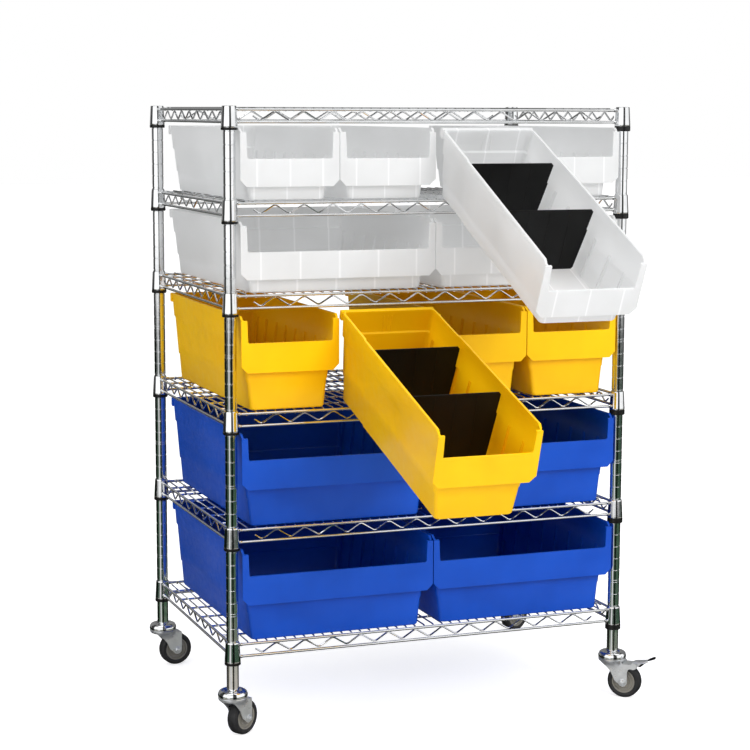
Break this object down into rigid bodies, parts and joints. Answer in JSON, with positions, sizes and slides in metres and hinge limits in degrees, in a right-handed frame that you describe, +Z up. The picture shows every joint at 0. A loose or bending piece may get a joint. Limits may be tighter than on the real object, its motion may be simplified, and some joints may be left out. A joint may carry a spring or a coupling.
{
  "type": "wire shelf cart",
  "caption": "Mobile open wire shelving on swivel stem casters, carrying rows of pull-out hopper bins, some of them tipped forward with cross dividers.",
  "frame": {"origin": "on the floor, under the middle of the whole model's bounding box (the tipped bins included)", "axes": "+Z up, +X along the cart's width, -Y the open front from which the bins pull out"},
  "size_m": [1.0128, 1.18, 1.3067],
  "materials": {
    "chrome_wire": "bright chrome plate",
    "zinc_steel": "zinc plated pressed steel",
    "clear_plastic": "translucent natural polypropylene",
    "yellow_plastic": "satin moulded polypropylene",
    "blue_plastic": "satin moulded polypropylene",
    "black_plastic": "moulded black plastic",
    "hub_plastic": "grey-brown moulded wheel core",
    "tyre_rubber": "dark grey rubber tread"
  },
  "bodies": {
    "cart": {"caster_stem_front_left": "chrome_wire", "caster_stem_front_right": "chrome_wire", "caster_stem_rear_left": "chrome_wire", "caster_stem_rear_right": "chrome_wire", "post_cap_front_left": "chrome_wire", "post_cap_front_right": "chrome_wire", "post_cap_rear_left": "chrome_wire", "post_cap_rear_right": "chrome_wire", "post_front_left": "chrome_wire", "post_front_right": "chrome_wire", "post_rear_left": "chrome_wire", "post_rear_right": "chrome_wire", "wire_shelf_1": "chrome_wire", "wire_shelf_2": "chrome_wire", "wire_shelf_3": "chrome_wire", "wire_shelf_4": "chrome_wire", "wire_shelf_5": "chrome_wire", "wire_shelf_6": "chrome_wire"},
    "row1_clear_bin_1": {"row1_clear_bin_1": "clear_plastic"},
    "row1_clear_bin_2": {"row1_clear_bin_2": "clear_plastic"},
    "row1_clear_bin_3": {"row1_clear_bin_3": "clear_plastic"},
    "row1_divider_1": {"row1_divider_1": "black_plastic"},
    "row1_divider_2": {"row1_divider_2": "black_plastic"},
    "row1_clear_bin_4": {"row1_clear_bin_4": "clear_plastic"},
    "row2_clear_bin_1": {"row2_clear_bin_1": "clear_plastic"},
    "row2_clear_bin_2": {"row2_clear_bin_2": "clear_plastic"},
    "row3_yellow_bin_1": {"row3_yellow_bin_1": "yellow_plastic"},
    "row3_yellow_bin_2": {"row3_yellow_bin_2": "yellow_plastic"},
    "row3_divider_1": {"row3_divider_1": "black_plastic"},
    "row3_divider_2": {"row3_divider_2": "black_plastic"},
    "row3_yellow_bin_3": {"row3_yellow_bin_3": "yellow_plastic"},
    "row3_yellow_bin_4": {"row3_yellow_bin_4": "yellow_plastic"},
    "row4_blue_bin_1": {"row4_blue_bin_1": "blue_plastic"},
    "row4_blue_bin_2": {"row4_blue_bin_2": "blue_plastic"},
    "row5_blue_bin_1": {"row5_blue_bin_1": "blue_plastic"},
    "row5_blue_bin_2": {"row5_blue_bin_2": "blue_plastic"},
    "swivel_front_left": {"caster_fork_front_left": "zinc_steel", "wheel_bolt_front_left": "zinc_steel"},
    "wheel_front_left": {"wheel_hub_front_left": "hub_plastic", "wheel_tyre_front_left": "tyre_rubber"},
    "swivel_rear_left": {"caster_fork_rear_left": "zinc_steel", "wheel_bolt_rear_left": "zinc_steel"},
    "wheel_rear_left": {"wheel_hub_rear_left": "hub_plastic", "wheel_tyre_rear_left": "tyre_rubber"},
    "swivel_front_right": {"caster_fork_front_right": "zinc_steel", "wheel_bolt_front_right": "zinc_steel"},
    "wheel_front_right": {"wheel_hub_front_right": "hub_plastic", "wheel_tyre_front_right": "tyre_rubber"},
    "pedal_front_right": {"brake_pedal_front_right": "zinc_steel", "brake_pedal_tip_front_right": "black_plastic"},
    "swivel_rear_right": {"caster_fork_rear_right": "zinc_steel", "wheel_bolt_rear_right": "zinc_steel"},
    "wheel_rear_right": {"wheel_hub_rear_right": "hub_plastic", "wheel_tyre_rear_right": "tyre_rubber"},
    "pedal_rear_right": {"brake_pedal_rear_right": "zinc_steel", "brake_pedal_tip_rear_right": "black_plastic"}
  },
  "joints": [
    {"name": "row1_clear_bin_1_slide", "type": "slide", "parent": "cart", "child": "row1_clear_bin_1", "axis": [0, -1, 0], "range_m": [0, 0.5]},
    {"name": "row1_clear_bin_2_slide", "type": "slide", "parent": "cart", "child": "row1_clear_bin_2", "axis": [0, -1, 0], "range_m": [0, 0.5]},
    {"name": "row1_clear_bin_3_tilt", "type": "hinge", "parent": "cart", "child": "row1_clear_bin_3", "pos_m": [0.07305, -0.04069, 1.11656], "axis": [-1, 0, 0], "range_deg": [0, 25]},
    {"name": "row1_divider_1_lift", "type": "slide", "parent": "row1_clear_bin_3", "child": "row1_divider_1", "axis": [0, 0.4226, -0.9063], "range_m": [-0.12, 0]},
    {"name": "row1_divider_2_lift", "type": "slide", "parent": "row1_clear_bin_3", "child": "row1_divider_2", "axis": [0, 0.4226, -0.9063], "range_m": [-0.12, 0]},
    {"name": "row1_clear_bin_4_slide", "type": "slide", "parent": "cart", "child": "row1_clear_bin_4", "axis": [0, -1, 0], "range_m": [0, 0.5]},
    {"name": "row2_clear_bin_1_slide", "type": "slide", "parent": "cart", "child": "row2_clear_bin_1", "axis": [0, -1, 0], "range_m": [0, 0.5]},
    {"name": "row2_clear_bin_2_slide", "type": "slide", "parent": "cart", "child": "row2_clear_bin_2", "axis": [0, -1, 0], "range_m": [0, 0.085]},
    {"name": "row3_yellow_bin_1_slide", "type": "slide", "parent": "cart", "child": "row3_yellow_bin_1", "axis": [0, -1, 0], "range_m": [0, 0.5]},
    {"name": "row3_yellow_bin_2_tilt", "type": "hinge", "parent": "cart", "child": "row3_yellow_bin_2", "pos_m": [-0.13945, -0.04069, 0.68632], "axis": [-1, 0, 0], "range_deg": [0, 17.6]},
    {"name": "row3_divider_1_lift", "type": "slide", "parent": "row3_yellow_bin_2", "child": "row3_divider_1", "axis": [0, 0.3024, -0.9532], "range_m": [-0.12, 0]},
    {"name": "row3_divider_2_lift", "type": "slide", "parent": "row3_yellow_bin_2", "child": "row3_divider_2", "axis": [0, 0.3024, -0.9532], "range_m": [-0.12, 0]},
    {"name": "row3_yellow_bin_3_slide", "type": "slide", "parent": "cart", "child": "row3_yellow_bin_3", "axis": [0, -1, 0], "range_m": [0, 0.5]},
    {"name": "row3_yellow_bin_4_slide", "type": "slide", "parent": "cart", "child": "row3_yellow_bin_4", "axis": [0, -1, 0], "range_m": [0, 0.5]},
    {"name": "row4_blue_bin_1_slide", "type": "slide", "parent": "cart", "child": "row4_blue_bin_1", "axis": [0, -1, 0], "range_m": [0, 0.14]},
    {"name": "row4_blue_bin_2_slide", "type": "slide", "parent": "cart", "child": "row4_blue_bin_2", "axis": [0, -1, 0], "range_m": [0, 0.5]},
    {"name": "row5_blue_bin_1_slide", "type": "slide", "parent": "cart", "child": "row5_blue_bin_1", "axis": [0, -1, 0], "range_m": [0, 0.5]},
    {"name": "row5_blue_bin_2_slide", "type": "slide", "parent": "cart", "child": "row5_blue_bin_2", "axis": [0, -1, 0], "range_m": [0, 0.5]},
    {"name": "swivel_front_left_turn", "type": "hinge", "parent": "cart", "child": "swivel_front_left", "pos_m": [-0.4747, -0.03469, 0.085], "axis": [0, 0, 1], "continuous": true},
    {"name": "wheel_front_left_spin", "type": "hinge", "parent": "swivel_front_left", "child": "wheel_front_left", "pos_m": [-0.44954, -0.01835, 0.0375], "axis": [-0.5446, 0.8387, 0], "continuous": true},
    {"name": "swivel_rear_left_turn", "type": "hinge", "parent": "cart", "child": "swivel_rear_left", "pos_m": [-0.4747, 0.54331, 0.085], "axis": [0, 0, 1], "continuous": true},
    {"name": "wheel_rear_left_spin", "type": "hinge", "parent": "swivel_rear_left", "child": "wheel_rear_left", "pos_m": [-0.44486, 0.54645, 0.0375], "axis": [-0.1045, 0.9945, 0], "continuous": true},
    {"name": "swivel_front_right_turn", "type": "hinge", "parent": "cart", "child": "swivel_front_right", "pos_m": [0.4083, -0.03469, 0.085], "axis": [0, 0, 1], "continuous": true},
    {"name": "wheel_front_right_spin", "type": "hinge", "parent": "swivel_front_right", "child": "wheel_front_right", "pos_m": [0.42951, -0.0559, 0.0375], "axis": [0.7071, 0.7071, 0], "continuous": true},
    {"name": "pedal_front_right_lift", "type": "hinge", "parent": "swivel_front_right", "child": "pedal_front_right", "pos_m": [0.44684, -0.07322, 0.075], "axis": [-0.7071, -0.7071, 0], "range_deg": [0, 18]},
    {"name": "swivel_rear_right_turn", "type": "hinge", "parent": "cart", "child": "swivel_rear_right", "pos_m": [0.4083, 0.54331, 0.085], "axis": [0, 0, 1], "continuous": true},
    {"name": "wheel_rear_right_spin", "type": "hinge", "parent": "swivel_rear_right", "child": "wheel_rear_right", "pos_m": [0.43649, 0.55357, 0.0375], "axis": [-0.342, 0.9397, 0], "continuous": true},
    {"name": "pedal_rear_right_lift", "type": "hinge", "parent": "swivel_rear_right", "child": "pedal_rear_right", "pos_m": [0.45951, 0.56195, 0.075], "axis": [0.342, -0.9397, 0], "range_deg": [0, 18]}
  ]
}
